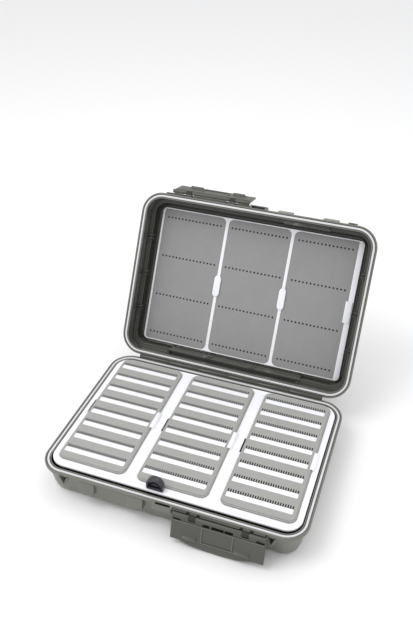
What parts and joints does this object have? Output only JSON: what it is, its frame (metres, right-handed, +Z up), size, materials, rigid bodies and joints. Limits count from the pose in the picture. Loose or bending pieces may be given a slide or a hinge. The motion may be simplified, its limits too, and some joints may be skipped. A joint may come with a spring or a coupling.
{
  "type": "fly box",
  "caption": "Large hinged waterproof fly box standing open, with a removable base tray of slotted foam, flat foam in the lid, a rim seal and latch flaps.",
  "frame": {"origin": "centre of the base's flat underside", "axes": "+X along the hinge to the right, +Y from the latch side towards the hinge and the open lid, +Z up"},
  "size_m": [0.343, 0.4256, 0.2638],
  "materials": {
    "shell": "moulded olive-grey ABS, fine satin grain",
    "latch": "darker olive-grey acetal, satin",
    "gasket": "pale silicone seal, slightly glossy",
    "tray": "white moulded plastic, satin",
    "base_foam": "closed-cell grey foam with rows of slits",
    "lid_foam": "closed-cell grey foam with rows of small holes",
    "pull": "black glossy moulding",
    "pin": "drawn stainless wire"
  },
  "bodies": {
    "base": {"base_shell": "shell", "base_gasket": "gasket", "base_tray": "tray", "base_insert_plate_left": "tray", "base_insert_plate_middle": "tray", "base_insert_plate_right": "tray", "base_foam_left": "base_foam", "base_foam_middle": "base_foam", "base_foam_right": "base_foam", "tray_pull": "pull", "hinge_pin": "pin", "base_latch_pin": "pin"},
    "lid": {"lid_shell": "shell", "lid_gasket": "gasket", "lid_tray": "tray", "lid_insert_plate_left": "tray", "lid_insert_plate_middle": "tray", "lid_insert_plate_right": "tray", "lid_foam_left": "lid_foam", "lid_foam_middle": "lid_foam", "lid_foam_right": "lid_foam", "lid_latch_pin": "pin"},
    "base_latch": {"base_latch": "latch"},
    "lid_latch": {"lid_latch": "latch"}
  },
  "joints": [
    {"name": "lid_hinge", "type": "hinge", "parent": "base", "child": "lid", "pos_m": [0, 0.12283, 0.045], "axis": [1, 0, 0], "range_deg": [0, 118.84]},
    {"name": "base_latch_hinge", "type": "hinge", "parent": "base", "child": "base_latch", "pos_m": [0.0715, -0.126, 0.041], "axis": [-1, 0, 0], "range_deg": [0, 164.3]},
    {"name": "lid_latch_hinge", "type": "hinge", "parent": "lid", "child": "lid_latch", "pos_m": [-0.0715, 0.24636, 0.26104], "axis": [1, 0, 0], "range_deg": [0, 164.3]}
  ]
}
